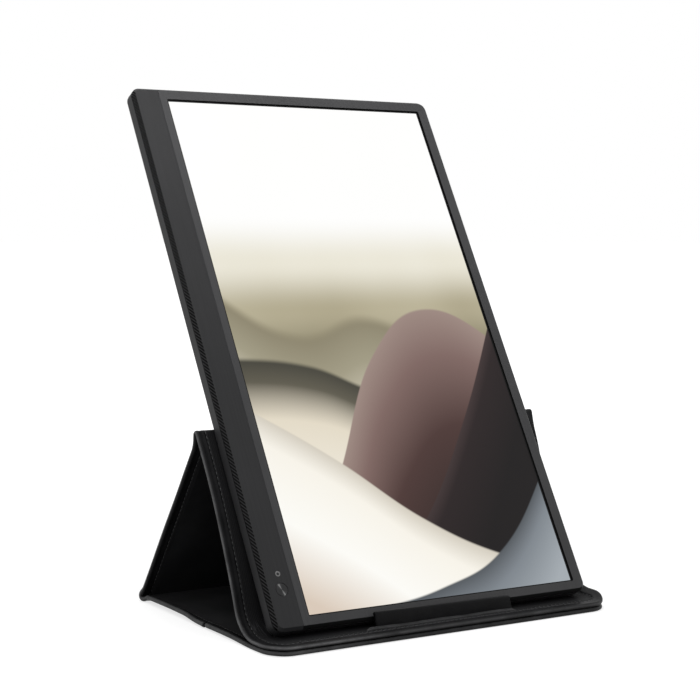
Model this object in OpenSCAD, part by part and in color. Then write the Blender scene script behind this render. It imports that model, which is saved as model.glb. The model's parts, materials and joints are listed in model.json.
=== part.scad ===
// Portable monitor on its folding cover.
// The cover is one strip of four stiff panels: a base on the table, a rear panel, a lean panel
// and a front flap that lies on the base. Folded into a triangle it carries the monitor in portrait.
// Frame: origin at the middle of the base's underside, X to the right, Y to the back, Z up.

/* [Cover] */
// Width of the cover strip
case_w = 246.6; // [235:0.2:270]
// Base, from its front edge to the rear fold
base_len = 158.6; // [150:0.1:175]
// Rear panel, from the rear fold to the apex; the lean panel's folds are as far apart
rear_len = 125.7; // [118:0.1:132]
// Front flap, from the bend to its free edge, which lies flush with the base's
flap_len = 22.05; // [20:0.05:26]
// Plan radius of the strip's free corners
free_corner_r = 15; // [6:1:20]
// Radius of the lean panel's slight bow
bow_r = 490; // [400:10:900]
// Distance from the apex down to where the monitor's back touches the bow
touch_at = 13.4; // [8:0.1:24]

/* [Cover layers] */
// Outer leather sheet
leather_t = 0.8; // [0.6:0.1:1.2]
// Stiff board
board_t = 1.2; // [0.8:0.1:1.8]
// Lining sheet
lining_t = 0.8; // [0.4:0.1:1.2]
// Width of the stitched border round each panel
border_w = 6; // [4:0.5:8]
// Soft leather between a fold and the nearest board
fold_soft = 3.2; // [2:0.1:5]
// How far the soft ridge runs on above the apex, along the lean panel
ridge_rise = 4.4; // [2:0.1:6]
// How much fuller the rear fold is than the panels
fold_swell = 0.8; // [0.2:0.1:1.5]
// How far the soft folds stand out beyond the strip's long edges
fold_out = 1.2; // [0.2:0.1:2]
// Gap between layers that lie on each other or meet at a fold
layer_gap = 0.3; // [0.2:0.05:0.5]
// Room round a board in its pocket
board_gap = 0.3; // [0.1:0.1:0.6]
// Stitch channel width
stitch_w = 0.7; // [0.4:0.1:1.2]
// Stitch channel depth
stitch_d = 0.25; // [0.1:0.05:0.4]

/* [Base crease] */
// Middle of the base's soft crease, measured from the rear fold
crease_at = 70.5; // [60:0.5:80]
// Width of the crease between the two base boards
crease_w = 18; // [10:1:24]

/* [Magnets] */
// Length of a bar magnet
magnet_len = 24; // [10:1:40]
// Width of a bar magnet
magnet_w = 6; // [4:0.5:7]
// Distance of each magnet's centre from the middle of the cover
magnet_at = 84; // [60:1:88]

/* [Stop lip] */
// Width of the lip
lip_w = 100; // [60:1:140]
// Height of the lip above the flap
lip_h = 10; // [6:0.5:14]
// Thickness of the lip
lip_t = 2.2; // [1.8:0.1:3]
// Thickness of the stiff core inside the lip
lip_core_t = 1; // [0.6:0.1:1.2]
// Radius of the lip's top corners
lip_r = 3; // [1:0.5:5]
// Lip's middle, to the right of the cover's middle
lip_x = 1.7; // [-20:0.1:20]

/* [Monitor] */
// Width of the monitor, chin included
mon_w = 227; // [224:0.2:230]
// Length of the monitor
mon_l = 360; // [358:1:364]
// Thickness of the monitor
mon_t = 11.8; // [11.4:0.1:13]
// Monitor's middle, to the right of the cover's middle
mon_x = 0.4; // [-8:0.1:8]
// Plan radius of the monitor's corners
mon_r = 6; // [5:0.5:10]
// Bevel round the front face
bevel = 1.7; // [0.8:0.1:1.9]
// Rounding of the back's edges
back_r = 3; // [2:0.5:3]
// Housing wall
wall = 1.4; // [1.2:0.1:1.6]
// Front plate
plate_t = 0.8; // [0.6:0.1:1]
// Clearance between the monitor and the cover that carries it
rest_gap = 0.3; // [0.2:0.05:0.5]

/* [Picture] */
// Width of the chin, the wide border on the left
chin_w = 18.2; // [18:0.1:24]
// Bezel above the picture
bezel_head = 8.5; // [7:0.1:9.5]
// Bezel to the right of the picture
bezel_side = 9; // [7:0.1:9]
// Bezel below the picture
bezel_foot = 7.3; // [6.8:0.1:8]
// Strip between the picture and the chin's seam
seam_at = 5.6; // [4.8:0.1:5.6]
// Width of the chin's seam
seam_w = 0.15; // [0.1:0.05:0.3]
// Dark reveal between the picture and the bezel's inner edge
reveal = 0.6; // [0.3:0.1:1]

/* [Housing split] */
// Height of the groove's lower edge above the back
split_z = 8.6; // [8.2:0.1:8.8]
// Width of the groove
split_w = 0.6; // [0.4:0.1:0.7]
// Clearance between nested pieces
fit = 0.1; // [0.05:0.01:0.2]
// Wall of the inner frame
frame_t = 1.2; // [1:0.1:1.3]
// Height of the inner frame's lower edge above the back
frame_z = 5; // [4:0.1:6]

/* [Display stack] */
// Margin of the display cell beyond the picture
cell_rim = 2.6; // [2:0.1:2.7]
// Display cell
cell_t = 1.35; // [1:0.05:1.5]
// One of the three diffuser sheets
diffuser_t = 0.18; // [0.1:0.01:0.2]
// Light guide
guide_t = 2; // [1.6:0.1:2.2]
// Metal of the backlight tray
tray_t = 0.5; // [0.3:0.1:0.6]
// Thickness of the LED strip's tape
led_tape_t = 0.3; // [0.2:0.05:0.4]
// Depth of one LED
led_d = 0.9; // [0.6:0.1:1]
// Length of one LED
led_len = 4; // [3:0.1:5]
// Distance between neighbouring LEDs
led_pitch = 9; // [7:0.5:15]

/* [Power button and lamp] */
// Button's centre above the monitor's foot
button_y = 24.1; // [18:0.1:40]
// Button's centre from the chin's outer edge
button_x = 10.6; // [9.5:0.1:11]
// Diameter of the button
button_d = 7.4; // [6:0.1:8]
// Gap round the button
button_gap = 0.3; // [0.2:0.05:0.5]
// How far the button can be pressed
button_travel = 0.5; // [0.3:0.05:0.6]
// Distance from the button up to the status lamp
lamp_up = 9.5; // [8:0.5:20]
// Diameter of the status lamp's lens
lamp_d = 3.2; // [2:0.1:4]

/* [Tripod insert] */
// Hole radius, for a quarter inch tripod screw
tripod_r = 2.55; // [2.5:0.01:3.2]
// Depth of the hole
tripod_depth = 6; // [5:0.1:7]
// Outer radius of the insert
insert_r = 4.5; // [4:0.1:4.6]
// Wall of the boss round the insert
boss_wall = 1; // [0.8:0.1:1.1]
// Insert's centre above the monitor's foot
tripod_y = 180; // [150:1:195]
// Insert's centre from the chin's outer edge
tripod_x = 9; // [8.8:0.1:9.5]

/* [Electronics] */
// Thickness of the circuit boards
pcb_t = 1; // [0.8:0.1:1.2]
// Length of the main board
pcb_len = 137; // [110:1:140]
// Width of the circuit boards
pcb_w = 13.4; // [12:0.1:13.6]
// Height of the main board's underside above the back
pcb_z = 3.6; // [3:0.1:3.8]
// Length of the button board
button_pcb_len = 24; // [22:1:40]
// Height of the button board's underside above the back
button_pcb_z = 6.2; // [5.6:0.1:6.3]
// Width of the USB-C socket
usb_w = 8.9; // [8.9:0.05:9]
// Height of the USB-C socket
usb_h = 3.2; // [3.2:0.05:3.3]
// Depth of the USB-C socket
usb_depth = 7.3; // [6:0.1:8]
// Radius of a board screw's head
screw_head_r = 1.8; // [1.5:0.1:2]
// Radius of a board screw's shank
screw_r = 0.95; // [0.8:0.05:1.1]
// Length of a board screw's shank
screw_len = 2.8; // [2:0.1:3]

/* [Hidden] */
$fn = 64;
bow_fn = 720;                               // facets of a full circle of the bow's radius
eps = 0.01;

// Cover: each panel's inner face lies half a gap from the line between its folds
panel_t = leather_t + board_t + lining_t;
near = layer_gap / 2;
far = near + panel_t;
fold_z = far;                               // height of the folds on the table
flap_top = fold_z + far;
rear_fold = [base_len / 2, fold_z];
stand_angle = acos((base_len - flap_len) / (2 * rear_len));     // between the rear panel and the table
apex = rear_fold + rear_len * [-cos(stand_angle), sin(stand_angle)];
bend_fold = [flap_len - base_len / 2, fold_z];
rim_r = panel_t / 2;
swell_taper = 60;                           // the rear fold's extra sweep, which runs out on the panel
inner_w = case_w - 2 * border_w;            // width of the linings' pockets
inner_r = free_corner_r - border_w;

// The bend is an arc that runs on from the flap's top and touches the bowed lean panel
bow_k = 180 / (PI * bow_r);                 // degrees per millimetre along the bow
lean_dir = 180 + stand_angle;
lean_normal = lean_dir - 90;
bow_centre = apex - bow_r * [cos(lean_normal), sin(lean_normal)];
bow_ahead = bow_centre[0] - bend_fold[0];
bow_above = bow_centre[1] - flap_top;
bend_r = (pow(bow_ahead, 2) + pow(bow_above, 2) - pow(bow_r + far, 2)) / (2 * (bow_r + far + bow_above));
bend_centre = [bend_fold[0], flap_top + bend_r];
to_bend = bend_centre - bow_centre;
bend_turn = 90 + atan2(-to_bend[1], -to_bend[0]);
lean_len = (atan2(to_bend[1], to_bend[0]) - lean_normal) / bow_k;

// The ridge is round on top, flush with the lean panel in front and upright behind
ridge_centre = apex + ridge_rise * [cos(stand_angle), sin(stand_angle)];
ridge_back = ridge_centre[0] + far;
ridge_front = apex[0] - far * sin(stand_angle);
ridge_fn = 20;
rear_face = apex + far * [sin(stand_angle), cos(stand_angle)];
ridge_foot = rear_face + (ridge_back - rear_face[0]) * [1, -tan(stand_angle)];
ridge_form = concat(
    [for (i = [0 : ridge_fn]) ridge_centre + far * [cos(i * lean_normal / ridge_fn), sin(i * lean_normal / ridge_fn)]],
    [apex + far * [cos(lean_normal), sin(lean_normal)], apex, rear_face, ridge_foot]);

// Pockets, as [start, end] along each panel
base_pocket = [-base_len + border_w, -fold_soft];
crease = [-crease_at - crease_w / 2, -crease_at + crease_w / 2];
rear_pocket = [fold_soft, rear_len - fold_soft];
lean_pocket = [fold_soft, lean_len - fold_soft];
flap_pocket = [fold_soft, flap_len - border_w];
magnet_room = 1;                            // board left beyond each magnet
base_magnet_y = base_pocket[0] + board_gap + magnet_room + magnet_w / 2;
flap_magnet_y = flap_pocket[1] - board_gap - magnet_room - magnet_w / 2;

// Monitor: its own frame has X across, Y up from the foot and Z from the back to the front
mon_tilt = 90 - stand_angle - touch_at * bow_k;     // lean back from upright
foot_z = flap_top + rest_gap - back_r * (cos(mon_tilt) + sin(mon_tilt) - 1);
bow_lead = bow_r * (1 - cos(touch_at * bow_k));
apex_reach = ((apex[1] - foot_z) * sin(mon_tilt) + rest_gap + far + bow_lead) / cos(mon_tilt);
foot_y = apex[0] - apex_reach;
lip_back = foot_y - mon_t * cos(mon_tilt) - rest_gap;
left = -mon_w / 2;
seam_x = left + chin_w;
pic_x = seam_x + seam_at;
pic_w = mon_w / 2 - bezel_side - pic_x;
pic_l = mon_l - bezel_foot - bezel_head;
plate_z = mon_t - plate_t;
front_z = split_z + split_w;
inner_bevel = 0.8;
frame_in = wall + fit;                      // from the housing's outer face to the frame's
frame_top = plate_z - inner_bevel - fit;
cell_z = plate_z - fit / 2 - cell_t;
film_gap = 0.02;
diffuser_h = 3 * (diffuser_t + film_gap);
diffuser_z = cell_z - fit - diffuser_h;
guide_z = diffuser_z - guide_t;
tray_z = guide_z - tray_t;
stack_x = pic_x - cell_rim;
stack_y = bezel_foot - cell_rim;
stack_w = pic_w + 2 * cell_rim;
stack_l = pic_l + 2 * cell_rim;
led_room = led_tape_t + led_d + 2 * fit;
rib_t = 1.5;
rib_x = seam_x + seam_w / 2 - rib_t / 2;    // the frame's cross rib backs the chin's seam
chin_in = left + frame_in + frame_t;
pcb_room = 0.5;
pcb_x = chin_in + pcb_room;
pcb_end = mon_l - frame_in - frame_t - fit;
pcb_y = pcb_end - pcb_len;
pcb_top = pcb_z + pcb_t;
screw_edge = 2.4;                           // from a screw's centre to the board's edge
screw_x = pcb_x + pcb_w - screw_edge;
button_at = [left + button_x, button_y];
lamp_at = button_at + [0, lamp_up];
button_pcb_y = button_y - button_pcb_len / 3;
switch_z = button_pcb_z + pcb_t;
switch_side = 4;
switch_h = 1.4;
plunger_r = 1;
plunger_h = 0.4;
stem_z = switch_z + switch_h + plunger_h + fit + button_travel;
flange_h = 0.5;
flange_reach = 0.6;                         // how far the flange reaches under the chin
flange_z = plate_z - button_gap - flange_h;
flange_r = button_d / 2 + button_gap + flange_reach;
tripod_at = [left + tripod_x, tripod_y];
insert_floor = 0.6;
insert_h = tripod_depth + insert_floor;
usb_x = pcb_x + pcb_w / 2;
usb_mid_z = pcb_top + usb_h / 2;
usb_slack = 0.2;                            // room round the socket in the housing's wall
post_r = 1.9;
main_screw_y = [for (f = [0.06, 0.5, 0.86]) pcb_y + f * pcb_len];
button_screw_y = button_pcb_y + button_pcb_len - screw_edge;
shield_clear = 5;                           // from a screw's centre to the shield
shield_y = main_screw_y[0] + shield_clear;
shield_l = main_screw_y[1] - shield_y - shield_clear;
shield_edge = 1;
shield_h = 2.4;
sheet_t = 0.25;                             // metal of the shield and the socket
connector_clear = 8;                        // from a screw's centre to the connector
connector_y = main_screw_y[1] + connector_clear;
connector_l = 26;
connector_w = 3;
connector_h = 1.2;
flex_t = 0.15;
flex_lead = 3;
flex_x = rib_x - flex_lead;                 // where the flex turns down to the board
chip = [3, 4, 1];
chip_pitch = 6;
chip_x = pcb_x + 1.5;
thread_room = 0.2;                          // below a screw's tip
back_rib_w = 1;

// Colours
leather_c = "#1b1b1c";
lining_c = "#0e0e0f";
board_c = "#8b7a5f";
magnet_c = "#8f9396";
chin_c = "#3c3c3d";
bezel_c = "#4a4a4b";
shell_c = "#343435";
frame_c = "#161617";
glass_c = "#cfd2cf";
film_c = "#f1f1ec";
metal_c = "#b9bcbf";
pcb_c = "#1d5a3a";
flex_c = "#b8772a";
brass_c = "#b8964f";

// ---- Frames --------------------------------------------------------------------------------

// A panel's frame: Y along the strip from its fold, Z to the panel's inner side
module at(fold, angle) {
    translate([0, fold[0], fold[1]]) rotate([angle, 0, 0]) children();
}

module in_base() {
    at(rear_fold, 0) children();
}

module in_rear() {
    at(rear_fold, 180 - stand_angle) children();
}

module in_lean() {
    at(apex, lean_dir) children();
}

module in_flap() {
    at(bend_fold, 180) children();
}

module in_monitor() {
    translate([mon_x, foot_y, foot_z]) rotate([90 - mon_tilt, 0, 0]) children();
}

// ---- Cover sections ------------------------------------------------------------------------
// Cross-sections of the strip: x is the distance out from the fold line, y runs across the strip.

module leather_section() {
    difference() {
        union() {
            translate([near, -case_w / 2 + rim_r]) square([panel_t, case_w - 2 * rim_r]);
            for (s = [-1, 1]) translate([near + rim_r, s * (case_w / 2 - rim_r)]) circle(rim_r);
        }
        for (s = [-1, 1]) translate([far - stitch_d, s * (case_w / 2 - border_w) - stitch_w / 2])
            square([stitch_d + eps, stitch_w]);
    }
}

// Section of a soft fold, which stands out a little beyond the long edges
module fold_section() {
    h = case_w / 2 + fold_out - rim_r;
    translate([near, -h]) square([panel_t, 2 * h]);
    for (s = [-1, 1]) translate([near + rim_r, s * h]) circle(rim_r);
}

module pocket_section() {
    translate([near - eps, -inner_w / 2]) square([board_t + lining_t + eps, inner_w]);
}

module board_section() {
    translate([near + lining_t, -inner_w / 2 + board_gap]) square([board_t, inner_w - 2 * board_gap]);
}

module lining_section() {
    translate([near, -inner_w / 2 + fit]) square([lining_t, inner_w - 2 * fit]);
}

// Pulls a section along a flat panel, from y0 to y1
module flat_run(y0, y1) {
    translate([0, y0, 0]) rotate([-90, 90, 0]) linear_extrude(y1 - y0) children();
}

// Sweeps a section round the X axis by an angle, from straight down towards the back
module turn(angle) {
    rotate([0, 90, 0]) rotate_extrude(angle = angle) children();
}

// Sweeps a section along the bowed lean panel, from s0 to s1
module bow_run(s0, s1) {
    translate([0, 0, bow_r]) rotate([s0 * bow_k, 0, 0]) rotate([0, 90, 0])
        rotate_extrude(angle = (s1 - s0) * bow_k, $fn = bow_fn) translate([bow_r, 0]) children();
}

// ---- Free ends of the strip ----------------------------------------------------------------

// The last stretch before a free edge at y = 0, with its half-round rim round two corners
module free_end() {
    c = free_corner_r;
    translate([-case_w / 2 + c, -c, -far]) cube([case_w - 2 * c, c - rim_r, panel_t]);
    translate([-case_w / 2 + c, -rim_r, rim_r - far]) rotate([0, 90, 0]) cylinder(r = rim_r, h = case_w - 2 * c);
    for (q = [0, 1]) translate([(1 - 2 * q) * (case_w / 2 - c), -c, -far]) rotate([0, 0, 90 * q])
        rotate_extrude(angle = 90) {
            square([c - rim_r, panel_t]);
            translate([c - rim_r, rim_r]) circle(rim_r);
        }
}

// Stitch channel of a free end, on the outer face
module end_channel() {
    c = free_corner_r;
    translate([-case_w / 2 + c, -border_w - stitch_w / 2, -far - eps])
        cube([case_w - 2 * c, stitch_w, stitch_d + eps]);
    for (q = [0, 1]) translate([(1 - 2 * q) * (case_w / 2 - c), -c, -far - eps]) rotate([0, 0, 90 * q])
        rotate_extrude(angle = 90) translate([inner_r - stitch_w / 2, 0]) square([stitch_w, stitch_d + eps]);
}

// Sheet with two round corners at y1, from depth d0 to d1 below the inner face
module tongue(y0, y1, gap, d0, d1) {
    w = inner_w - 2 * gap;
    r = inner_r - gap;
    translate([0, 0, -near - d1]) linear_extrude(d1 - d0) intersection() {
        translate([-w / 2, y0 + gap]) square([w, y1 - y0 - 2 * gap]);
        union() {
            translate([-w / 2, y0]) square([w, y1 - gap - r - y0]);
            translate([-w / 2 + r, y0]) square([w - 2 * r, y1 - y0]);
            for (s = [-1, 1]) translate([s * (w / 2 - r), y1 - gap - r]) circle(r);
        }
    }
}

module magnet_pair(y, gap) {
    for (s = [-1, 1]) translate([s * magnet_at, y, -near - lining_t - board_t / 2])
        cube([magnet_len + 2 * gap, magnet_w + 2 * gap, board_t + (gap > 0 ? 2 * eps : 0)], center = true);
}

// ---- Base ----------------------------------------------------------------------------------

// The base is drawn with its free end at +y and then turned to the front
module base_front_first() {
    mirror([0, 1, 0]) children();
}

module base_leather() {
    color(leather_c) in_base() difference() {
        union() {
            flat_run(-base_len + free_corner_r, 0) leather_section();
            base_front_first() translate([0, base_len, 0]) free_end();
        }
        base_front_first() {
            translate([0, base_len, 0]) end_channel();
            tongue(-base_pocket[1], -base_pocket[0], 0, -eps, lining_t);
            tongue(-crease[0], -base_pocket[0], 0, 0, lining_t + board_t);
        }
        flat_run(crease[1], base_pocket[1]) pocket_section();
    }
}

module base_front_board() {
    color(board_c) in_base() difference() {
        base_front_first() tongue(-crease[0], -base_pocket[0], board_gap, lining_t, lining_t + board_t);
        magnet_pair(base_magnet_y, fit);
    }
}

module base_rear_board() {
    color(board_c) in_base() flat_run(crease[1] + board_gap, base_pocket[1] - board_gap) board_section();
}

module base_lining() {
    color(lining_c) in_base()
        base_front_first() tongue(-base_pocket[1], -base_pocket[0], fit, 0, lining_t);
}

module base_magnets() {
    color(magnet_c) in_base() magnet_pair(base_magnet_y, 0);
}

// Soft leather round the rear fold, fuller than the panels and tapered on to the rear one's back
module rear_fold_strip() {
    color(leather_c) difference() {
        in_base() translate([0, 0, fold_swell]) turn(180 - stand_angle + swell_taper)
            translate([fold_swell, 0]) fold_section();
        in_rear() translate([-case_w, 0, -far - layer_gap]) cube([2 * case_w, rear_len / 2, rear_len / 2]);
    }
}

// ---- Rear panel ----------------------------------------------------------------------------

module rear_leather() {
    color(leather_c) in_rear() difference() {
        flat_run(layer_gap, rear_len) leather_section();
        flat_run(rear_pocket[0], rear_pocket[1]) pocket_section();
    }
}

module rear_board() {
    color(board_c) in_rear() flat_run(rear_pocket[0] + board_gap, rear_pocket[1] - board_gap) board_section();
}

module rear_lining() {
    color(lining_c) in_rear() flat_run(rear_pocket[0] + fit, rear_pocket[1] - fit) lining_section();
}

// Soft leather over the apex, a ridge with its ends rounded
module apex_fold_strip() {
    w = case_w + 2 * fold_out;
    color(leather_c) intersection() {
        translate([-w / 2, 0, 0]) rotate([90, 0, 90]) linear_extrude(w) polygon(ridge_form);
        translate([-w / 2, ridge_front, ridge_foot[1] - eps])
            linear_extrude(2 * ridge_rise + 2 * far) plan(w, ridge_back - ridge_front, rim_r);
    }
}

// ---- Lean panel ----------------------------------------------------------------------------

module lean_leather() {
    color(leather_c) in_lean() difference() {
        bow_run(layer_gap, lean_len) leather_section();
        bow_run(lean_pocket[0], lean_pocket[1]) pocket_section();
    }
}

module lean_board() {
    color(board_c) in_lean() bow_run(lean_pocket[0] + board_gap, lean_pocket[1] - board_gap) board_section();
}

module lean_lining() {
    color(lining_c) in_lean() bow_run(lean_pocket[0] + fit, lean_pocket[1] - fit) lining_section();
}

// Soft leather from the flap up to the lean panel, its outer face on the inside of the bend
module front_bend_strip() {
    color(leather_c) translate([0, bend_centre[0], bend_centre[1]])
        turn(bend_turn) translate([bend_r + far, 0]) mirror([1, 0]) leather_section();
}

// ---- Flap and stop lip ---------------------------------------------------------------------

module flap_leather() {
    color(leather_c) in_flap() difference() {
        union() {
            flat_run(layer_gap, flap_len - free_corner_r) leather_section();
            translate([0, flap_len, 0]) free_end();
        }
        translate([0, flap_len, 0]) end_channel();
        tongue(flap_pocket[0], flap_pocket[1], 0, -eps, lining_t + board_t);
    }
}

module flap_board() {
    color(board_c) in_flap() difference() {
        tongue(flap_pocket[0], flap_pocket[1], board_gap, lining_t, lining_t + board_t);
        magnet_pair(flap_magnet_y, fit);
    }
}

module flap_lining() {
    color(lining_c) in_flap() tongue(flap_pocket[0], flap_pocket[1], fit, 0, lining_t);
}

module flap_magnets() {
    color(magnet_c) in_flap() magnet_pair(flap_magnet_y, 0);
}

// Tab with round top corners, standing on the flap with its back face at y = 0
module lip_tab(w, h, t, r) {
    rotate([90, 0, 0]) linear_extrude(t) {
        translate([-w / 2, 0]) square([w, h - r]);
        translate([-w / 2 + r, 0]) square([w - 2 * r, h]);
        for (s = [-1, 1]) translate([s * (w / 2 - r), h - r]) circle(r);
    }
}

module stop_lip_skin() {
    skin = (lip_t - lip_core_t) / 2;
    color(leather_c) translate([lip_x, lip_back, flap_top]) difference() {
        lip_tab(lip_w, lip_h, lip_t, lip_r);
        translate([0, -skin, skin])
            lip_tab(lip_w - 2 * skin, lip_h - 2 * skin, lip_core_t, lip_r - skin);
    }
}

module stop_lip_core() {
    skin = (lip_t - lip_core_t) / 2 + film_gap;
    color(board_c) translate([lip_x, lip_back - skin, flap_top + skin])
        lip_tab(lip_w - 2 * skin, lip_h - 2 * skin, lip_core_t - 2 * film_gap, lip_r - skin);
}

// ---- Monitor housing -----------------------------------------------------------------------

// Rounded rectangle from the origin
module plan(w, l, r) {
    translate([r, 0]) square([w - 2 * r, l]);
    translate([0, r]) square([w, l - 2 * r]);
    for (x = [r, w - r], y = [r, l - r]) translate([x, y]) circle(r);
}

// Plate of the monitor's outline, set in by a margin
module outline_plate(inset, z0, z1) {
    translate([left + inset, inset, z0]) linear_extrude(z1 - z0)
        plan(mon_w - 2 * inset, mon_l - 2 * inset, mon_r - inset);
}

// Slab of the monitor's outline whose edge has the profile given as a child: x from 0, at the
// corner radius's centre, out to the edge, y from z0 to z1
module edged_slab(inset, z0, z1) {
    r = mon_r - inset;
    x1 = mon_w / 2 - mon_r;
    y1 = mon_l - 2 * mon_r;
    translate([0, mon_r, 0]) {
        translate([-x1, 0, z0]) cube([2 * x1, y1, z1 - z0]);
        for (s = [0, 1]) {
            mirror([s, 0, 0]) translate([x1, y1, 0]) rotate([90, 0, 0]) linear_extrude(y1) children();
            translate([0, y1 * s, 0]) rotate([0, 0, 180 * s]) translate([-x1, 0, 0])
                rotate([90, 0, -90]) mirror([0, 0, 1]) linear_extrude(2 * x1) children();
            for (q = [0, 1]) translate([(1 - 2 * q) * x1, y1 * s, 0])
                rotate([0, 0, 90 * (s == 1 ? q : 3 - q)]) rotate_extrude(angle = 90) children();
        }
    }
}

// Edge profile with its outer lower corner rounded
module back_profile(r, z1, round_r) {
    translate([0, round_r]) square([r, z1 - round_r]);
    square([r - round_r, z1]);
    translate([r - round_r, round_r]) circle(round_r);
}

// Edge profile with its outer upper corner bevelled
module bevel_profile(r, z0, z1, cut) {
    polygon([[0, z0], [r, z0], [r, z1 - cut], [r - cut, z1], [0, z1]]);
}

module rear_shell() {
    color(shell_c) in_monitor() {
        difference() {
            edged_slab(0, 0, split_z) back_profile(mon_r, split_z, back_r);
            outline_plate(wall, wall, split_z + eps);
            usb_slot(usb_slack, mon_l - wall - eps, wall + 2 * eps);
            translate([tripod_at[0], tripod_at[1], -eps]) cylinder(r = insert_r + fit / 2, h = wall + 2 * eps);
        }
        tripod_boss();
        for (y = main_screw_y) board_post(y, pcb_z);
        board_post(button_screw_y, button_pcb_z);
        back_ribs();
    }
}

// Ring that holds the tripod insert
module tripod_boss() {
    translate([tripod_at[0], tripod_at[1], wall]) difference() {
        cylinder(r = insert_r + fit / 2 + boss_wall, h = insert_h - wall);
        translate([0, 0, -eps]) cylinder(r = insert_r + fit / 2, h = insert_h);
    }
}

module board_post(y, top) {
    translate([screw_x, y, wall]) difference() {
        cylinder(r = post_r, h = top - wall);
        translate([0, 0, top - wall - (screw_len - pcb_t) - thread_room])
            cylinder(r = screw_r + film_gap, h = screw_len);
    }
}

// Low ribs under the backlight tray: five across and three along
module back_ribs() {
    h = tray_z - wall - fit;
    x0 = rib_x + rib_t;
    x1 = mon_w / 2 - frame_in - frame_t - fit;
    y0 = frame_in + frame_t;
    y1 = mon_l - y0;
    for (i = [1 : 5]) translate([x0, y0 + (y1 - y0) * i / 6, wall]) cube([x1 - x0, back_rib_w, h]);
    for (i = [1 : 3]) translate([x0 + (x1 - x0) * i / 4, y0, wall]) cube([back_rib_w, y1 - y0, h]);
}

// Rounded slot through the top wall for the USB-C socket
module usb_slot(gap, y, depth) {
    r = usb_h / 2 + gap;
    translate([usb_x, y, usb_mid_z]) rotate([-90, 0, 0]) linear_extrude(depth) {
        square([usb_w - usb_h, 2 * r], center = true);
        for (s = [-1, 1]) translate([s * (usb_w - usb_h) / 2, 0]) circle(r);
    }
}

module front_form() {
    difference() {
        edged_slab(0, front_z, mon_t) bevel_profile(mon_r, front_z, mon_t, bevel);
        edged_slab(wall, front_z - eps, plate_z)
            bevel_profile(mon_r - wall, front_z - eps, plate_z, inner_bevel);
    }
}

module front_bezel() {
    color(bezel_c) in_monitor() difference() {
        front_form();
        translate([left - 1, -1, front_z - 1]) cube([seam_x + seam_w - left + 1, mon_l + 2, mon_t]);
        translate([pic_x - reveal, bezel_foot - reveal, front_z - 1]) linear_extrude(mon_t)
            plan(pic_w + 2 * reveal, pic_l + 2 * reveal, 1);
    }
}

module chin_cover() {
    color(chin_c) in_monitor() difference() {
        intersection() {
            front_form();
            translate([left - 1, -1, front_z - 1]) cube([seam_x - left + 1, mon_l + 2, mon_t]);
        }
        translate([button_at[0], button_at[1], front_z]) cylinder(r = button_d / 2 + button_gap, h = mon_t);
        translate([lamp_at[0], lamp_at[1], front_z]) cylinder(r = lamp_d / 2 + film_gap, h = mon_t);
    }
}

// Inner frame: its edge shows as the dark groove between the two housings
module mid_frame() {
    color(frame_c) in_monitor() difference() {
        union() {
            difference() {
                outline_plate(frame_in, frame_z, frame_top);
                outline_plate(frame_in + frame_t, frame_z - eps, frame_top + eps);
            }
            translate([rib_x, frame_in + frame_t / 2, frame_z])
                cube([rib_t, mon_l - 2 * frame_in - frame_t, frame_top - frame_z]);
        }
        usb_slot(usb_slack, mon_l - frame_in - frame_t - 1, frame_t + 2);
    }
}

// ---- Display stack -------------------------------------------------------------------------

// Sheet of the display stack, set in from the cell's edge on the left and on the other sides
module stack_sheet(inset_left, inset, z, t) {
    translate([stack_x + inset_left, stack_y + inset, z])
        cube([stack_w - inset_left - inset, stack_l - 2 * inset, t]);
}

module display_cell() {
    color(glass_c) in_monitor() stack_sheet(0, 0, cell_z, cell_t);
}

module diffuser_stack() {
    inset = tray_t + fit;
    color(film_c) in_monitor() for (i = [0 : 2])
        stack_sheet(inset, inset, diffuser_z + film_gap + i * (diffuser_t + film_gap), diffuser_t);
}

module light_guide() {
    inset = tray_t + fit;
    color(film_c) in_monitor() stack_sheet(tray_t + led_room, inset, guide_z, guide_t);
}

module backlight_tray() {
    color(metal_c) in_monitor() difference() {
        stack_sheet(0, 0, tray_z, cell_z - fit - tray_z);
        stack_sheet(tray_t, tray_t, guide_z, cell_z);
    }
}

module led_strip() {
    l = stack_l - 2 * (tray_t + fit);
    count = floor((l - led_len) / led_pitch);
    start = (l - count * led_pitch - led_len) / 2;
    color(flex_c) in_monitor() translate([stack_x + tray_t + fit, stack_y + tray_t + fit, guide_z]) {
        cube([led_tape_t, l, guide_t]);
        for (i = [0 : count]) translate([led_tape_t, start + i * led_pitch, fit])
            cube([led_d, led_len, guide_t - 2 * fit]);
    }
}

// Flat cable from the display cell over the frame's rib down to the main board
module display_flex() {
    end_z = pcb_top + connector_h;
    top_z = frame_top + film_gap;
    color(flex_c) in_monitor() translate([0, connector_y, 0]) {
        translate([flex_x, 0, top_z]) cube([stack_x - film_gap - flex_x, connector_l, flex_t]);
        translate([flex_x, 0, end_z]) cube([flex_t, connector_l, top_z + flex_t - end_z]);
        translate([flex_x - connector_w, 0, end_z]) cube([connector_w + flex_t, connector_l, flex_t]);
    }
}

// ---- Electronics ---------------------------------------------------------------------------

module screw_hole(y, z) {
    translate([screw_x, y, z - eps]) cylinder(r = screw_r + film_gap, h = pcb_t + 2 * eps);
}

module main_board() {
    notch = 3;
    color(pcb_c) in_monitor() {
        difference() {
            translate([pcb_x, pcb_y, pcb_z]) cube([pcb_w, pcb_len, pcb_t]);
            translate([pcb_x - eps, shield_y + shield_l, pcb_z - eps]) cube([notch, 4 * notch, pcb_t + 2 * eps]);
            for (y = main_screw_y) screw_hole(y, pcb_z);
        }
        translate([flex_x - connector_w, connector_y, pcb_top]) cube([connector_w, connector_l, connector_h]);
        for (i = [0 : 3]) translate([chip_x, connector_y + (i + 0.5) * chip_pitch, pcb_top]) cube(chip);
    }
}

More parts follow.
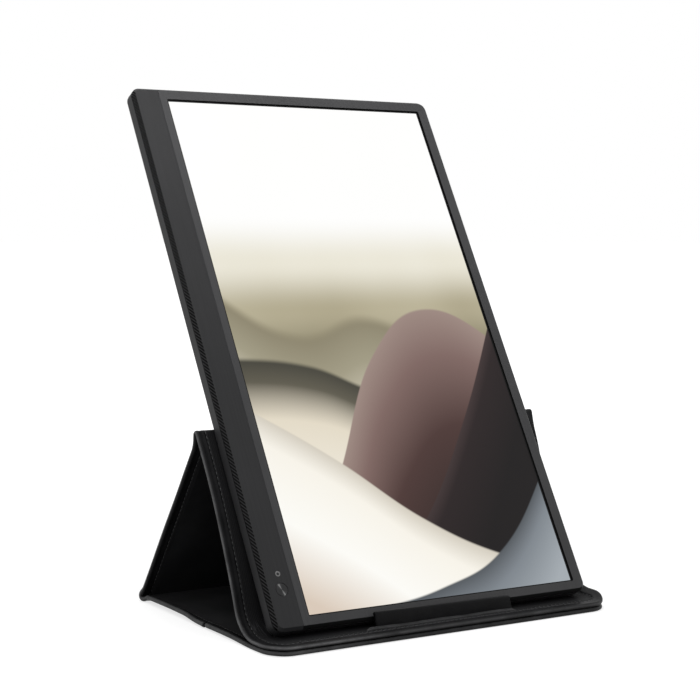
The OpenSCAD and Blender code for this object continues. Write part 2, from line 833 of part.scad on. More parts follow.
module board_shield() {
    w = pcb_w - 2 * shield_edge;
    color(metal_c) in_monitor() translate([pcb_x + shield_edge, shield_y, pcb_top]) difference() {
        cube([w, shield_l, shield_h]);
        translate([sheet_t, sheet_t, -eps]) cube([w - 2 * sheet_t, shield_l - 2 * sheet_t, shield_h - sheet_t + eps]);
    }
}

// Socket shell with its tongue
module usb_c_socket() {
    y0 = mon_l - fit - usb_depth;
    color(metal_c) in_monitor() {
        difference() {
            usb_slot(0, y0, usb_depth);
            usb_slot(-sheet_t, y0 + 1, usb_depth);
        }
        translate([usb_x - 3.3, y0 + 1, usb_mid_z - 0.35]) cube([6.6, usb_depth - 1.5, 0.7]);
    }
}

module board_screw(y, z) {
    translate([screw_x, y, z + film_gap]) cylinder(r = screw_head_r, h = 0.7);
    translate([screw_x, y, z + film_gap - screw_len]) cylinder(r = screw_r, h = screw_len + eps);
}

module board_screws() {
    color(metal_c) in_monitor() {
        for (y = main_screw_y) board_screw(y, pcb_top);
        board_screw(button_screw_y, switch_z);
    }
}

module button_board() {
    color(pcb_c) in_monitor() difference() {
        translate([pcb_x, button_pcb_y, button_pcb_z]) cube([pcb_w, button_pcb_len, pcb_t]);
        screw_hole(button_screw_y, button_pcb_z);
    }
}

module tact_switch() {
    color(metal_c) in_monitor() translate([button_at[0], button_at[1], switch_z]) {
        translate([-switch_side / 2, -switch_side / 2, 0]) cube([switch_side, switch_side, switch_h]);
        translate([0, 0, switch_h - eps]) cylinder(r = plunger_r, h = plunger_h + eps);
    }
}

module power_button() {
    cap_top = mon_t - fit;
    color(chin_c) in_monitor() translate([button_at[0], button_at[1], 0]) {
        translate([0, 0, flange_z + flange_h - eps]) cylinder(r = button_d / 2, h = cap_top - flange_z - flange_h + eps);
        translate([0, 0, flange_z]) cylinder(r = flange_r, h = flange_h);
        translate([0, 0, stem_z]) cylinder(r = plunger_r, h = flange_z - stem_z + eps);
    }
}

// Lens of the status lamp, held by a flange under the chin
module status_lens() {
    color(film_c) in_monitor() translate([lamp_at[0], lamp_at[1], 0]) {
        translate([0, 0, plate_z - flange_h - film_gap]) cylinder(r = lamp_d / 2 + 0.5, h = flange_h);
        translate([0, 0, plate_z - 2 * film_gap]) cylinder(r = lamp_d / 2, h = mon_t - plate_z);
    }
}

module tripod_insert() {
    color(brass_c) in_monitor() translate([tripod_at[0], tripod_at[1], 0]) difference() {
        cylinder(r = insert_r, h = insert_h);
        translate([0, 0, -eps]) cylinder(r = tripod_r, h = tripod_depth + eps);
    }
}

base_leather();
base_front_board();
base_rear_board();
base_lining();
base_magnets();
rear_fold_strip();
rear_leather();
rear_board();
rear_lining();
apex_fold_strip();
lean_leather();
lean_board();
lean_lining();
front_bend_strip();
flap_leather();
flap_board();
flap_lining();
flap_magnets();
stop_lip_skin();
stop_lip_core();
front_bezel();
chin_cover();
mid_frame();
rear_shell();
display_cell();
diffuser_stack();
light_guide();
backlight_tray();
led_strip();
display_flex();
main_board();
board_shield();
usb_c_socket();
board_screws();
button_board();
tact_switch();
power_button();
status_lens();
tripod_insert();
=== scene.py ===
"""Looks of a slim portable monitor that stands in portrait on its folded leather-look cover."""
import json
import math

import bmesh
import bpy
import numpy as np
from mathutils import Matrix, Vector

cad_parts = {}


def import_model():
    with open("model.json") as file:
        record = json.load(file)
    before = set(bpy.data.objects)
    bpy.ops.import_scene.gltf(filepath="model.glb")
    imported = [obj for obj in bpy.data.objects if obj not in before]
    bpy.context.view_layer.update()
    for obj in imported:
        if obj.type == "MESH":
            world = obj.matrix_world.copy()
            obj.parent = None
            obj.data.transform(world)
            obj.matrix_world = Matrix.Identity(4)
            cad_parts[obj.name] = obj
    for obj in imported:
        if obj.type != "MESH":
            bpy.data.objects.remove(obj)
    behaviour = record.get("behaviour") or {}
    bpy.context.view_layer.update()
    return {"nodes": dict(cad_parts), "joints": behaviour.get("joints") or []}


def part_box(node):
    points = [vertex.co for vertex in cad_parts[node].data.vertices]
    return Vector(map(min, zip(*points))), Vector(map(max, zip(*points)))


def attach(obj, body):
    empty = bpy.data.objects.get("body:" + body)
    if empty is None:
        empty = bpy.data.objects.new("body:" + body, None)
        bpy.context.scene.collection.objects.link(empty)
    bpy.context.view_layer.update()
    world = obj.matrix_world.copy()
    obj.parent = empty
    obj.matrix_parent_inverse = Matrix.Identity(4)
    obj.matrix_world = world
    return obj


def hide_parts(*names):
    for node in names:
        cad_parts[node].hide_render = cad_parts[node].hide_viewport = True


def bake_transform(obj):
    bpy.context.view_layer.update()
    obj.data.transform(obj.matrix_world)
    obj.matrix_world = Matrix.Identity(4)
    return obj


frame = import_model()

MM = 0.001

# ---- Sizes, in millimetres, from the frame ---------------------------------------------------

joints = {j["name"]: j for j in frame["joints"]}


def pivot(name):
    """(y, z) of a fold's axis, in millimetres."""
    return np.array(joints[name]["pos_m"][1:]) / MM


def node_box(name):
    """Lowest and highest corner of a CAD node, in millimetres."""
    low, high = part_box(name)
    return np.array(low) / MM, np.array(high) / MM


REAR_FOLD = pivot("rear_fold")
APEX = pivot("apex_fold")
FRONT_BEND = pivot("bend_fold")
LAYER_GAP = 0.3                     # between the base and the flap that lies on it
NEAR = LAYER_GAP / 2                # a panel's inner face, from the line between its folds
FAR = float(REAR_FOLD[1])           # its outer face: the base's lies on the table
SHEET = FAR - NEAR
MID = (NEAR + FAR) / 2
BASE_LEN = float(REAR_FOLD[0] - node_box("base_leather")[0][1])
HALF_W = float(node_box("base_leather")[1][0])
FLAP_LEN = float(FRONT_BEND[0] + BASE_LEN / 2)
FLAP_TOP = 2 * FAR
REAR_LEN = float(np.linalg.norm(APEX - REAR_FOLD))
STAND = math.acos((REAR_FOLD - APEX)[0] / REAR_LEN)
RIDGE_RISE = float(node_box("apex_fold_strip")[1][2] - FAR - APEX[1]) / math.sin(STAND)
RIDGE = APEX + RIDGE_RISE * np.array([math.cos(STAND), math.sin(STAND)])   # the fold's own centre
NECK = 5.0                          # how far the rear panel's turn to upright reaches each way
BOW_R = 490.0                       # radius of the lean panel's slight bow
CORNER_R = 15.0                     # plan radius of the cover's free corners
BORDER = 6.0                        # stitch line, in from the cover's edge
STITCH_PITCH, STITCH_LENGTH, THREAD_WIDTH = 3.2, 2.3, 0.55

# The bow's centre, and the bend that runs on from the flap and touches the bow
bow_from = math.pi / 2 + STAND      # direction of the bow's outward normal at the apex
BOW_C = APEX - BOW_R * np.array([math.cos(bow_from), math.sin(bow_from)])
ahead, above = BOW_C[0] - FRONT_BEND[0], BOW_C[1] - FLAP_TOP
BEND_R = (ahead ** 2 + above ** 2 - (BOW_R + FAR) ** 2) / (2 * (BOW_R + FAR + above))
BEND_C = FRONT_BEND + [0, FAR + BEND_R]
bow_to = math.atan2(*(BEND_C - BOW_C)[::-1])
LEAN_LEN = (bow_to - bow_from) * BOW_R

# Monitor's own frame: X across, Y up from the foot, Z from the back to the front
TILT = math.atan2(joints["monitor_lift"]["axis"][1], joints["monitor_lift"]["axis"][2])
shell_low, shell_high = node_box("rear_shell")
MON_W = float(shell_high[0] - shell_low[0])
MON_X = float(shell_high[0] + shell_low[0]) / 2
MON_T = 11.8                        # its thickness
PIC_EDGES = (-89.7, 104.5, 7.3, 351.5)      # picture: left, right, foot and head
BACK_R = 3.0                        # radius of its back edges
REST_GAP = 0.3                      # between its foot and what carries it
foot_z = FLAP_TOP + REST_GAP - BACK_R * (math.cos(TILT) + math.sin(TILT) - 1)
lip_low, lip_high = node_box("stop_lip_skin")
foot_y = lip_high[1] + REST_GAP + MON_T * math.cos(TILT)
MONITOR_AT = Vector((MON_X, foot_y, foot_z)) * MM
TO_MONITOR = Matrix.Rotation(-(math.pi / 2 - TILT), 4, "X") @ Matrix.Translation(-MONITOR_AT)


def on_front(name):
    """Where a node's middle lies on the monitor's front, in its own frame."""
    middle = TO_MONITOR @ Vector(sum(node_box(name)) / 2 * MM)
    return tuple(v / MM for v in middle[:2])


BUTTON_AT, LENS_AT = on_front("power_button"), on_front("status_lens")
lens_low, lens_high = node_box("status_lens")
LENS_R = float(lens_high[0] - lens_low[0]) / 2


# ---- Materials -------------------------------------------------------------------------------

BAND_SCALE = 0.314                  # scale at which a wave texture's bands lie 1 mm apart


def colour(code):
    """Linear colour with alpha from an sRGB hex code."""
    parts = [int(code[i:i + 2], 16) / 255 for i in (1, 3, 5)]
    return (*[c / 12.92 if c <= 0.04045 else ((c + 0.055) / 1.055) ** 2.4 for c in parts], 1.0)


def fill(node, inputs):
    """Sets a node's inputs, each to a value or from another node's socket."""
    for key, value in inputs.items():
        if isinstance(value, bpy.types.NodeSocket):
            node.id_data.links.new(value, node.inputs[key])
        else:
            node.inputs[key].default_value = value


def add(tree, kind, inputs=None, **settings):
    """Adds a node with its settings and inputs."""
    made = tree.nodes.new(kind)
    for name, value in settings.items():
        setattr(made, name, value)
    fill(made, inputs or {})
    return made


def new_material(name):
    """An empty node material: its tree and its Principled shader, joined to the output."""
    made = bpy.data.materials.new(name)
    made.use_nodes = True
    made.node_tree.nodes.clear()
    shader = add(made.node_tree, "ShaderNodeBsdfPrincipled")
    add(made.node_tree, "ShaderNodeOutputMaterial", {"Surface": shader.outputs[0]})
    return made, made.node_tree, shader


def calc(tree, operation, *values):
    """Result of a Math node."""
    return add(tree, "ShaderNodeMath", dict(enumerate(values)), operation=operation).outputs[0]


def vector_calc(tree, operation, *values):
    """Vector result of a Vector Math node."""
    return add(tree, "ShaderNodeVectorMath", dict(enumerate(values)),
               operation=operation).outputs[0]


def length_of(tree, vector):
    return add(tree, "ShaderNodeVectorMath", {0: vector}, operation="LENGTH").outputs["Value"]


def parts_of(tree, vector):
    return add(tree, "ShaderNodeSeparateXYZ", {0: vector}).outputs


def map_range(tree, value, low, high, to_low=0.0, to_high=1.0, **settings):
    """Value mapped from one range to another and held inside it."""
    return add(tree, "ShaderNodeMapRange", {"Value": value, "From Min": low, "From Max": high,
                                            "To Min": to_low, "To Max": to_high},
               **settings).outputs[0]


def mix(tree, factor, a, b, **settings):
    """Colour a where the factor is 0 and b where it is 1."""
    return add(tree, "ShaderNodeMix", {"Factor": factor, "A": a, "B": b}, data_type="RGBA",
               **settings).outputs["Result"]


def noise(tree, at, scale, detail=2.0):
    """Cloudy value from 0 to 1."""
    return add(tree, "ShaderNodeTexNoise",
               {"Vector": at, "Scale": scale, "Detail": detail}).outputs["Fac"]


def bands(tree, at, pitch_mm, direction, inputs=None):
    """Straight bands from 0 to 1 and back."""
    return add(tree, "ShaderNodeTexWave",
               {"Vector": at, "Scale": BAND_SCALE / pitch_mm, **(inputs or {})},
               bands_direction=direction).outputs["Fac"]


def ramp_of(tree, factor, stops, interpolation="LINEAR"):
    """Colour ramp with (position, hex) stops."""
    made = add(tree, "ShaderNodeValToRGB", {"Fac": factor})
    made.color_ramp.interpolation = interpolation
    while len(made.color_ramp.elements) < len(stops):
        made.color_ramp.elements.new(0.5)
    for element, (position, code) in zip(made.color_ramp.elements, stops):
        element.position = position
        element.color = colour(code)
    return made.outputs["Color"]


def in_mm(tree, vector):
    return vector_calc(tree, "MULTIPLY", vector, (1 / MM,) * 3)


def surface_mm(tree):
    """The piece's UV map in millimetres along and across its surface."""
    return in_mm(tree, add(tree, "ShaderNodeUVMap", uv_map="surface").outputs[0])


def object_mm(tree):
    """Object coordinates in millimetres."""
    return in_mm(tree, add(tree, "ShaderNodeTexCoord").outputs["Object"])


def monitor_mm(tree):
    """Coordinates of the monitor's own frame, in millimetres."""
    place = add(tree, "ShaderNodeTexCoord")
    turned = add(tree, "ShaderNodeMapping",
                 {"Vector": place.outputs["Object"], "Location": TO_MONITOR.to_translation(),
                  "Rotation": TO_MONITOR.to_euler()})
    return in_mm(tree, turned.outputs[0])


def from_middle(tree, middle):
    """Vectors from a point of the monitor's front, in mm: in space, flat on it, and its length."""
    off = vector_calc(tree, "SUBTRACT", monitor_mm(tree), (*middle, 0))
    flat = vector_calc(tree, "MULTIPLY", off, (1, 1, 0))
    return off, flat, length_of(tree, flat)


def bump(tree, height, depth_mm, under=None):
    """Bump of a height from 0 to 1, its depth in millimetres."""
    inputs = {"Height": height, "Distance": depth_mm * MM, "Strength": 1.0}
    if under is not None:
        inputs["Normal"] = under
    return add(tree, "ShaderNodeBump", inputs).outputs[0]


def grained_leather():
    """Polyurethane leather: an embossed grain of pebbles about 0.9 mm across, so light breaks
    into small soft sparks. Its folded rims show a grey line: some rubbing, mostly painted
    highlight."""
    made, tree, shader = new_material("polyurethane_leather_embossed")
    at = surface_mm(tree)
    wear = add(tree, "ShaderNodeAttribute", attribute_name="wear_and_highlight").outputs["Fac"]
    warp = add(tree, "ShaderNodeTexNoise", {"Vector": at, "Scale": 0.5, "Detail": 2.0})
    bent = vector_calc(tree, "MULTIPLY_ADD", warp.outputs["Color"], (0.7,) * 3, at)
    pebbles = add(tree, "ShaderNodeTexVoronoi", {"Vector": bent, "Scale": 1 / 0.9},
                  feature="SMOOTH_F1")
    creases = noise(tree, at, 0.09, 3.0)
    patchy = ramp_of(tree, creases, [(0.3, "#0e0e0f"), (0.7, "#161617")])
    worn_and_highlit = ramp_of(tree, creases, [(0.3, "#4c4c4d"), (0.7, "#707071")])
    # The rims' grey line is mixed in here: some real rubbing, mostly a painted highlight.
    fill(shader, {"Base Color": mix(tree, wear, patchy, worn_and_highlit),
                  "Roughness": map_range(tree, creases, 0.3, 0.7, 0.4, 0.5),
                  "Normal": bump(tree, pebbles.outputs["Distance"], 0.05,
                                 bump(tree, creases, 0.5)),
                  "Specular IOR Level": 0.08})
    return made


def ribbed_lining():
    """Woven lining with fine ribs 1.1 mm apart, a little coarser than the real 0.6 mm so that
    they show: it lies dull, with a faint painted glint along each rib. The front bend gathers it
    into fine wrinkles near its ends, painted lighter as a highlight."""
    made, tree, shader = new_material("ribbed_polyester_lining")
    at = surface_mm(tree)
    ribs = bands(tree, at, 1.1, "X", {"Distortion": 0.6, "Detail": 1.0, "Detail Scale": 0.4})
    weave = bump(tree, noise(tree, at, 1.6), 0.08, bump(tree, ribs, 0.05))
    # Painted glint: each rib is painted a little lighter.
    tone = ramp_of(tree, ribs, [(0.1, "#121213"), (0.9, "#1b1b1c")])
    # Wrinkles, painted lighter as a highlight: they fade in towards the bend and its ends, and run
    # along the strip
    x, y, _ = parts_of(tree, at)
    near_end = map_range(tree, calc(tree, "ABSOLUTE", x), HALF_W - 36, HALF_W - 14)
    from_bend = calc(tree, "ABSOLUTE", calc(tree, "SUBTRACT", y, WRINKLES_AT))
    here = calc(tree, "MULTIPLY", near_end, map_range(tree, from_bend, 13.0, 4.0))
    gathers = noise(tree, vector_calc(tree, "MULTIPLY", at, (0.55, 0.06, 0)), 1.0, 1.0)
    wrinkles_and_highlight = calc(tree, "MULTIPLY", here, map_range(tree, gathers, 0.54, 0.64))
    fill(shader, {"Base Color": mix(tree, wrinkles_and_highlight, tone, colour("#303031")), "Roughness": 0.65,
                  "Normal": bump(tree, wrinkles_and_highlight, 0.5, weave), "Specular IOR Level": 0.08})
    return made


def smooth_lining():
    """Brushed microfibre inside the stand: almost no shine, with short soft pile."""
    made, tree, shader = new_material("microfibre_brushed")
    at = surface_mm(tree)
    tone = ramp_of(tree, noise(tree, at, 0.04), [(0.35, "#181819"), (0.7, "#222223")])
    fill(shader, {"Base Color": tone, "Roughness": 0.75, "Specular IOR Level": 0.08,
                  "Normal": bump(tree, noise(tree, at, 1.2, 3.0), 0.06)})
    return made


def sewing_thread():
    """Bonded nylon thread: two twisted plies about 0.5 mm apart, with a ropey glint painted along
    them.
    """
    made, tree, shader = new_material("nylon_thread_twisted")
    plies = bands(tree, object_mm(tree), 0.5, "DIAGONAL", {"Distortion": 1.0})
    # Painted glint: the plies' crests are painted lighter.
    fill(shader, {"Base Color": ramp_of(tree, plies, [(0.0, "#161617"), (1.0, "#2b2b2c")]),
                  "Roughness": 0.5, "Normal": bump(tree, plies, 0.05)})
    return made


def brushed_plastic(name, dark, light, roughness, streak_mm, edge_x=None, shade_below_z=None):
    """ABS moulded with a hairline finish: streaks along the monitor's length, a few tenths of
    a millimetre apart and tens long, tilt the light a little from one to the next. Its edge
    left of edge_x is knurled and dark; below the given depth its walls carry painted shade."""
    made, tree, shader = new_material(name)
    at = monitor_mm(tree)
    drawn = vector_calc(tree, "MULTIPLY", at, (1 / streak_mm, 0.012, 1 / streak_mm))
    hair = noise(tree, drawn, 1.0, 3.0)
    both = calc(tree, "ADD", hair, noise(tree, at, 0.02))
    tone = ramp_of(tree, calc(tree, "MULTIPLY", both, 0.5), [(0.32, dark), (0.68, light)])
    x, _, z = parts_of(tree, at)
    shine = 0.12
    if edge_x is not None:
        hatch = ramp_of(tree, bands(tree, at, 1.25, "DIAGONAL"),
                        [(0.4, "#000000"), (0.8, "#323233")])
        inside = map_range(tree, x, edge_x - 0.1, edge_x)
        tone = mix(tree, inside, hatch, tone)
        shine = map_range(tree, inside, 0.0, 1.0, 0.03, 0.12)
    if shade_below_z is not None:
        # Painted shade: the walls below that depth are painted near black.
        tone = mix(tree, map_range(tree, z, shade_below_z - 0.05, shade_below_z), colour("#060606"), tone)
    fill(shader, {"Base Color": tone, "Roughness": roughness, "Specular IOR Level": shine,
                  "Normal": bump(tree, hair, 0.02)})
    return made


def spark_plastic(name, dark, light, roughness, grit_mm):
    """ABS from a spark-eroded mould: an even fine grit that turns gloss into a soft sheen."""
    made, tree, shader = new_material(name)
    at = object_mm(tree)
    tone = ramp_of(tree, noise(tree, at, 0.03), [(0.35, dark), (0.65, light)])
    fill(shader, {"Base Color": tone, "Roughness": roughness, "Specular IOR Level": 0.2,
                  "Normal": bump(tree, noise(tree, at, 1 / grit_mm), 0.02)})
    return made


def plain_metal(name, code, roughness, line_mm):
    """Rolled metal: faint lines from the rolls, at the pitch given."""
    made, tree, shader = new_material(name)
    lines = bands(tree, object_mm(tree), line_mm, "X", {"Distortion": 1.5, "Detail": 2.0})
    fill(shader, {"Base Color": colour(code), "Metallic": 1.0, "Roughness": roughness,
                  "Normal": bump(tree, lines, 0.01)})
    return made


def spun_button():
    """Anodised aluminium turned on a lathe, with rings 0.5 mm apart; a bright tie-shaped highlight
    is painted across it.
    """
    made, tree, shader = new_material("anodised_aluminium_spun")
    _, flat, radius = from_middle(tree, BUTTON_AT)
    groove = calc(tree, "PINGPONG", calc(tree, "MULTIPLY", radius, 2 / 0.5), 1.0)
    x, y, _ = parts_of(tree, flat)
    angle = calc(tree, "ARCTAN2", y, x)
    # Painted highlight: a bright band shaped like a tie across the button.
    painted_bow_highlight = calc(tree, "COSINE", calc(tree, "MULTIPLY_ADD", angle, 2.0, 2.4))
    tone = ramp_of(tree, painted_bow_highlight, [(0.0, "#1c1c1d"), (0.86, "#2b2b2c"), (1.0, "#6c6c6c")])
    fill(shader, {"Base Color": tone, "Metallic": 0.6, "Roughness": 0.4,
                  "Normal": bump(tree, groove, 0.02)})
    return made


def lamp_lens():
    """Smoked polycarbonate: a pale ring is printed round the small dark window of the lamp."""
    made, tree, shader = new_material("polycarbonate_smoked")
    off, _, radius = from_middle(tree, LENS_AT)
    tone = ramp_of(tree, calc(tree, "DIVIDE", radius, LENS_R),
                   [(0.36, "#1a1a1b"), (0.5, "#6e6e6e"), (0.78, "#6e6e6e"), (0.92, "#2b2b2c")])
    fill(shader, {"Base Color": tone, "Roughness": 0.25, "Specular IOR Level": 0.3,
                  "Normal": bump(tree, noise(tree, off, 4.0), 0.005)})
    return made


# Dunes on the screen, back to front: crest heights from left to right, softness, and colours
# from the crest down, all as shares of the picture
DUNES = (
    ((0.60, 0.52, 0.555, 0.50, 0.46), 0.03,
     [(0, "#857d66"), (0.10, "#a09a83"), (0.22, "#d9d3c0")]),
    ((0.475, 0.455, 0.40, 0.43, 0.47), 0.012,
     [(0, "#3c3b33"), (0.05, "#5d594c"), (0.12, "#e2d9c6"), (0.30, "#f3eee2")]),
    ((0.04, 0.25, 0.47, 0.56, 0.49), 0.006,
     [(0, "#9c8880"), (0.10, "#7d6560"), (0.24, "#4a3431"), (0.44, "#221715")]),
    ((0.0, 0.03, 0.14, 0.31, 0.52), 0.005,
     [(0, "#3d3030"), (0.04, "#241a1b"), (0.2, "#120d0e")]),
    ((0.37, 0.27, 0.15, 0.07, 0.03), 0.006,
     [(0, "#cfc8ba"), (0.06, "#f6f2e8"), (0.2, "#fbfaf5"), (0.34, "#d8c8b8")]),
    ((0.0, 0.0, 0.02, 0.07, 0.20), 0.005,
     [(0, "#4d5257"), (0.05, "#7d848b"), (0.16, "#a2a9af")]),
)


def crest_line(tree, across, heights):
    """Height of a smooth curve through evenly spaced points."""
    made = add(tree, "ShaderNodeFloatCurve", {"Value": across})
    line = made.mapping.curves[0]
    while len(line.points) < len(heights):
        line.points.new(0.5, 0.5)
    for i, height in enumerate(heights):
        line.points[i].location = (i / (len(heights) - 1), height)
    made.mapping.update()
    return made.outputs[0]


def lit_screen():
    """Anti-glare display under its backlight: it shows dunes under a pale sky, and its matt
    film keeps only a faint gloss."""
    made, tree, shader = new_material("display_glass_anti_glare")
    left, right, foot, head = PIC_EDGES
    place = vector_calc(tree, "SUBTRACT", monitor_mm(tree), (left, foot, 0))
    share = vector_calc(tree, "MULTIPLY", place, (1 / (right - left), 1 / (head - foot), 0))
    across, up, _ = parts_of(tree, share)
    picture = ramp_of(tree, up, [(0.36, "#c9c2ae"), (0.47, "#8d866d"), (0.56, "#b3ab90"),
                                 (0.66, "#e9e5d6"), (0.76, "#fdfdfc")], "EASE")
    picture = mix(tree, 0.35, picture, noise(tree, share, 3.0, 1.0), blend_type="SOFT_LIGHT")
    for heights, soft, stops in DUNES:
        depth = calc(tree, "SUBTRACT", crest_line(tree, across, heights), up)
        cover = map_range(tree, depth, 0.0, soft, interpolation_type="SMOOTHSTEP")
        picture = mix(tree, cover, picture, ramp_of(tree, depth, stops))
    # Past the last pixels the panel is masked black
    x, y, _ = parts_of(tree, place)
    within = []
    for value, reach, low, high in ((x, right - left, 0.45, 1.0), (y, head - foot, 0.3, 0.8)):
        off = calc(tree, "SUBTRACT", value, (low + reach - high) / 2)
        within.append(calc(tree, "LESS_THAN", calc(tree, "ABSOLUTE", off),
                           (reach - high - low) / 2))
    picture = mix(tree, calc(tree, "MULTIPLY", *within), colour("#020202"), picture)
    fill(shader, {"Base Color": colour("#050505"), "Roughness": 0.35, "Specular IOR Level": 0.1,
                  "Emission Color": picture, "Emission Strength": 1.0})
    return made


def seen_directly(tree):
    """1 for what the camera and gloss see, and the light path it is read from."""
    path = add(tree, "ShaderNodeLightPath").outputs
    return calc(tree, "MAXIMUM", path["Is Camera Ray"], path["Is Glossy Ray"]), path


def floor_paper():
    """White paper sweep: seen by the camera and in gloss it is lifted to white, and it keeps
    the shadow."""
    made, tree, shader = new_material("white_paper")
    at = object_mm(tree)
    tone = ramp_of(tree, noise(tree, at, 0.2), [(0.0, "#a6a6a6"), (1.0, "#aaaaaa")])
    level = map_range(tree, length_of(tree, at), 250.0, 900.0, 0.72, 1.0)
    fill(shader, {"Base Color": tone, "Roughness": 0.9, "Specular IOR Level": 0.0,
                  "Emission Color": (1, 1, 1, 1),
                  "Emission Strength": calc(tree, "MULTIPLY", seen_directly(tree)[0], level)})
    return made


# ---- Cover: the line that the strip follows ---------------------------------------------------
# Each run gives its fold line's point and the outward normal, both (y, z), at a length u on it.

def facing(angle):
    return np.array([math.cos(angle), math.sin(angle)])


def straight(start, direction, normal_angle):
    return lambda u: (start + u * np.array(direction), facing(normal_angle))


def round_fold(centre, start_angle, length, turned):
    return lambda u: (centre, facing(start_angle + turned * u / length))


def bowed(u):
    outward = facing(bow_from + u / BOW_R)
    return BOW_C + BOW_R * outward, outward


def hollow_bend(u):
    outward = facing(bow_to - u / (BEND_R + MID))
    return BEND_C - (BEND_R + FAR) * outward, outward


def neck(u):
    """The rear panel's soft end turns upright before the ridge."""
    outward = facing(math.pi / 2 - STAND - u / NECK_R)
    return NECK_C - NECK_R * outward, outward


REAR_TURN = math.pi - STAND
RIDGE_TURN = bow_from
BEND_TURN = bow_to - math.pi / 2
up_rear = (-math.cos(STAND), math.sin(STAND))
NECK_TURN = math.pi / 2 - STAND
NECK_R = NECK / math.tan(NECK_TURN / 2)
NECK_AT = REAR_LEN - RIDGE_RISE - NECK
NECK_C = REAR_FOLD + NECK_AT * np.array(up_rear) + NECK_R * facing(NECK_TURN)
NECK_UP = RIDGE[1] - NECK_C[1]
stretches = [
    ("base", BASE_LEN, straight(np.array([-BASE_LEN / 2, FAR]), (1, 0), -math.pi / 2)),
    ("rear_fold", MID * REAR_TURN, round_fold(REAR_FOLD, -math.pi / 2, MID * REAR_TURN, REAR_TURN)),
    ("rear", NECK_AT, straight(REAR_FOLD, up_rear, NECK_TURN)),
    ("neck", NECK_R * NECK_TURN, neck),
    ("upright", NECK_UP, straight(np.array([RIDGE[0], NECK_C[1]]), (0, 1), 0.0)),
    ("ridge", MID * RIDGE_TURN, round_fold(RIDGE, 0.0, MID * RIDGE_TURN, RIDGE_TURN)),
    ("lean_top", RIDGE_RISE, straight(RIDGE, (-math.cos(STAND), -math.sin(STAND)), bow_from)),
    ("lean", LEAN_LEN, bowed),
    ("bend", (BEND_R + MID) * BEND_TURN, hollow_bend),
    ("flap", FLAP_LEN, straight(FRONT_BEND, (-1, 0), math.pi / 2)),
]
starts = dict(zip([n for n, _, _ in stretches],
                  np.cumsum([0] + [length for _, length, _ in stretches[:-1]])))
STRIP_LEN = sum(length for _, length, _ in stretches)


def on_line(t):
    """Fold line's point and the outward normal, both (y, z), at a length t along the strip."""
    for name, length, run in stretches:
        if t <= starts[name] + length + 1e-9 or name == stretches[-1][0]:
            return run(t - starts[name])


def smooth(x, low, high):
    s = np.clip((x - low) / (high - low), 0, 1)
    return s * s * (3 - 2 * s)


def hump(x, centre, half):
    """1 at the centre, easing to 0 at half the width on each side."""
    return float(smooth(half - abs(x - centre), 0, half))


WRINKLES_AT = starts["flap"] - 6            # middle of the lining's wrinkles
LEATHER = grained_leather()
RIBBED = ribbed_lining()
MICROFIBRE = smooth_lining()
THREAD = sewing_thread()


# ---- Cover: its section and relief ------------------------------------------------------------
# A section runs from the outer face round the rim to the inner face. Each point is its distance
# in from the edge and its height off the fold line, in mm.
RIM_R = SHEET / 2
RIM_STEPS = 8
# A face's border, with its roll and its stitch groove: distance in, and height above the face
BORDER_FORM = ((9.0, -0.10), (7.2, -0.10), (6.5, -0.08), (6.25, -0.26), (6.0, -0.42),
               (5.75, -0.24), (5.4, -0.02), (4.9, 0.0), (4.3, -0.08), (3.5, -0.16),
               (2.7, -0.14), (2.0, -0.02))


def section():
    turns = [math.pi * i / RIM_STEPS for i in range(RIM_STEPS + 1)]
    rim = [(RIM_R * (1 - math.sin(a)), MID + RIM_R * math.cos(a)) for a in turns]
    outer = [(e, FAR + d) for e, d in BORDER_FORM]
    inner = [(e, NEAR - d) for e, d in reversed(BORDER_FORM)]
    return outer + rim + inner


SECTION = section()
walked = np.concatenate([[0], np.cumsum([math.dist(a, b) for a, b in zip(SECTION, SECTION[1:])])])
UNROLLED = SECTION[0][0] - walked           # distance in from the edge, if the rim were unrolled
FROM_RIM = walked - walked[len(SECTION) // 2]    # along the section, from the rim's outermost line
COLUMNS = 48                                # facets across the middle
column_edges = [1 - 2 * c / COLUMNS for c in range(COLUMNS + 1)]
COLUMN_PAIRS = list(zip(column_edges, column_edges[1:]))    # as shares of half the width
ARC_ROWS = 10                               # rows round a free corner
PLAIN_STEP = 3.0                            # between rows where nothing asks for closer ones
THREAD_AT = 0.24                            # a stitch's middle, below the face
PANEL_WAVE, RIM_WAVE = 0.10, 0.12           # how far the panels and their rims waver
FOLD_SWELL = 1.0                            # how much fuller the rear fold is than the panels
FOLD_OUT = 0.5                              # how far it stands out past the long edges
# How far the ridge's right end stands out, by length past the ridge's start
RIDGE_OUT = ((-11, -6, -1, 2, 4, 6.5, 10, 15, 23, 29, 38),
             (0, 0.9, 4.6, 6.1, 5.7, 5.0, 4.2, 3.2, 2.3, 1.5, 0))
FLAP_CURL = 3.4                             # how far the flap's right border bends up
SEAM_AT = BASE_LEN / 2 + 0.4                # a seam across the base's crease
SEAM_BEHIND, SEAM_BEFORE = 7.0, 2.4         # how far its overlap fades out on each side
SEAM_NIP = 1.6                              # the nip before it, where the rims' painted highlight and rubbing are left out
RUB_HIGHLIGHT_REACH = 1.2                            # how far the rims' line of rubbing and painted highlight reaches each way
FRONT_EDGE = 8.0                            # how much of the strip's ends is a front edge
# Stretches with closer rows: from, to and step
FINE = ((starts["rear_fold"] - 9, starts["rear"] + 11, 0.9),
        (starts["rear_fold"], starts["rear"], 0.35),
        (starts["neck"], starts["lean"] + 8, 0.9),
        (starts["ridge"], starts["lean_top"], 0.35),
        (starts["bend"], starts["flap"], 1.4),
        (SEAM_AT - 2.6, SEAM_AT - 0.1, 0.4),
        (SEAM_AT - 0.1, SEAM_AT, 0.1))


